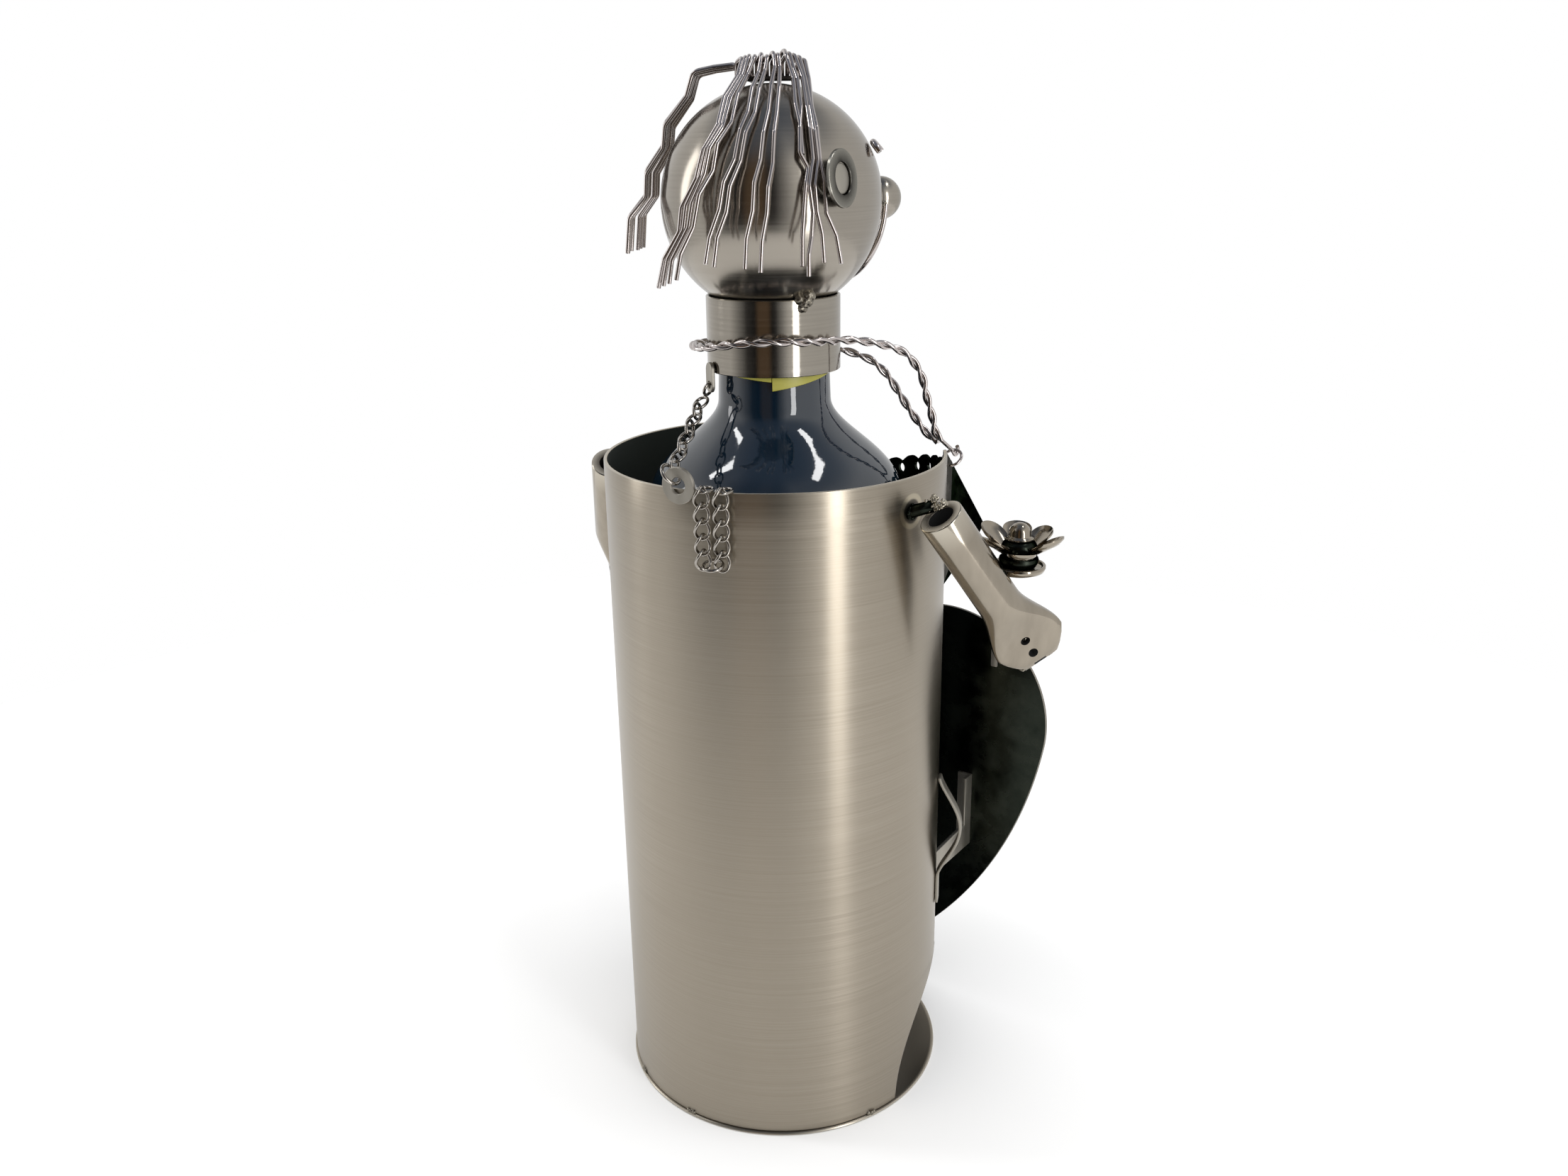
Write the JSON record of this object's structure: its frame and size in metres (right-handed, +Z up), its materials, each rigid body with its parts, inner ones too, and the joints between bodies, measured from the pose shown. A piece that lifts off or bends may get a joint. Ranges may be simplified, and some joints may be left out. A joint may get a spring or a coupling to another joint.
{
  "type": "wine bottle holder",
  "caption": "Metal figurine that holds a wine bottle: open-fronted sheet body with arms, heart and flower, and a ball head that slips over the neck.",
  "frame": {"origin": "centre of the base plate's underside, on the body's axis", "axes": "+Z up along the bottle; the figure faces -Y, and its right hand is towards -X"},
  "size_m": [0.1672, 0.1088, 0.3108],
  "materials": {
    "brushed_steel": "champagne grey, finely brushed round the body, clear coated",
    "dark_steel": "dark green-black, glossy",
    "bright_wire": "bright, slightly pink nickel",
    "bottle_glass": "glossy, navy black",
    "liner_plastic": "thin translucent yellow"
  },
  "bodies": {
    "holder": {"body_shell": "brushed_steel", "base_plate": "brushed_steel", "arm_right": "brushed_steel", "arm_left": "brushed_steel", "arm_stub_right": "brushed_steel", "arm_stub_left": "brushed_steel", "heart_plate": "dark_steel", "lapel_right": "dark_steel", "lapel_left": "dark_steel", "lace_collar": "dark_steel", "flower_cup": "dark_steel", "flower_seed": "dark_steel", "side_strip": "bright_wire", "heart_strip_lower_right": "bright_wire", "heart_strip_lower_left": "bright_wire", "heart_strip_upper_right": "bright_wire", "heart_strip_upper_left": "bright_wire", "strap_ring": "bright_wire", "neck_wire_a": "bright_wire", "neck_wire_b": "bright_wire", "flower_saucer": "bright_wire", "flower_petals": "bright_wire", "flower_cap": "bright_wire", "rim_washer": "bright_wire", "jump_ring": "bright_wire", "chain_link_1": "bright_wire", "chain_link_2": "bright_wire", "chain_link_3": "bright_wire", "chain_link_4": "bright_wire", "chain_link_5": "bright_wire", "chain_link_6": "bright_wire", "chain_link_7": "bright_wire", "chain_link_8": "bright_wire", "rim_link_right": "bright_wire", "rim_link_left": "bright_wire"},
    "bottle": {"bottle": "bottle_glass"},
    "liner": {"neck_liner": "liner_plastic"},
    "head": {"head_ball": "brushed_steel", "neck_collar": "brushed_steel", "ear_washer_right": "dark_steel", "ear_washer_left": "dark_steel", "nose": "bright_wire", "smile_wire": "bright_wire", "eyelid_right": "bright_wire", "eyelid_left": "bright_wire", "back_hair": "bright_wire", "side_hair": "bright_wire", "collar_tab": "bright_wire"},
    "chain_surplus": {"strand_right_link_1": "bright_wire", "strand_right_link_2": "bright_wire", "strand_right_link_3": "bright_wire", "strand_right_link_4": "bright_wire", "strand_right_link_5": "bright_wire", "strand_left_link_1": "bright_wire", "strand_left_link_2": "bright_wire", "strand_left_link_3": "bright_wire", "strand_left_link_4": "bright_wire", "strand_left_link_5": "bright_wire", "foot_link": "bright_wire"}
  },
  "joints": [
    {"name": "bottle_lift", "type": "slide", "parent": "holder", "child": "bottle", "axis": [0, 0, 1], "range_m": [0, 0.007]},
    {"name": "head_lift", "type": "slide", "parent": "bottle", "child": "liner", "axis": [0, 0, 1], "range_m": [0, 0.055]},
    {"name": "head_turn", "type": "hinge", "parent": "liner", "child": "head", "pos_m": [0, 0, 0.2366], "axis": [0, 0, 1], "range_deg": [-45, 60]},
    {"name": "surplus_swing", "type": "hinge", "parent": "holder", "child": "chain_surplus", "pos_m": [-0.01623, 0.05087, 0.20275], "axis": [0.9527, 0.304, 0], "range_deg": [0, 60]}
  ]
}
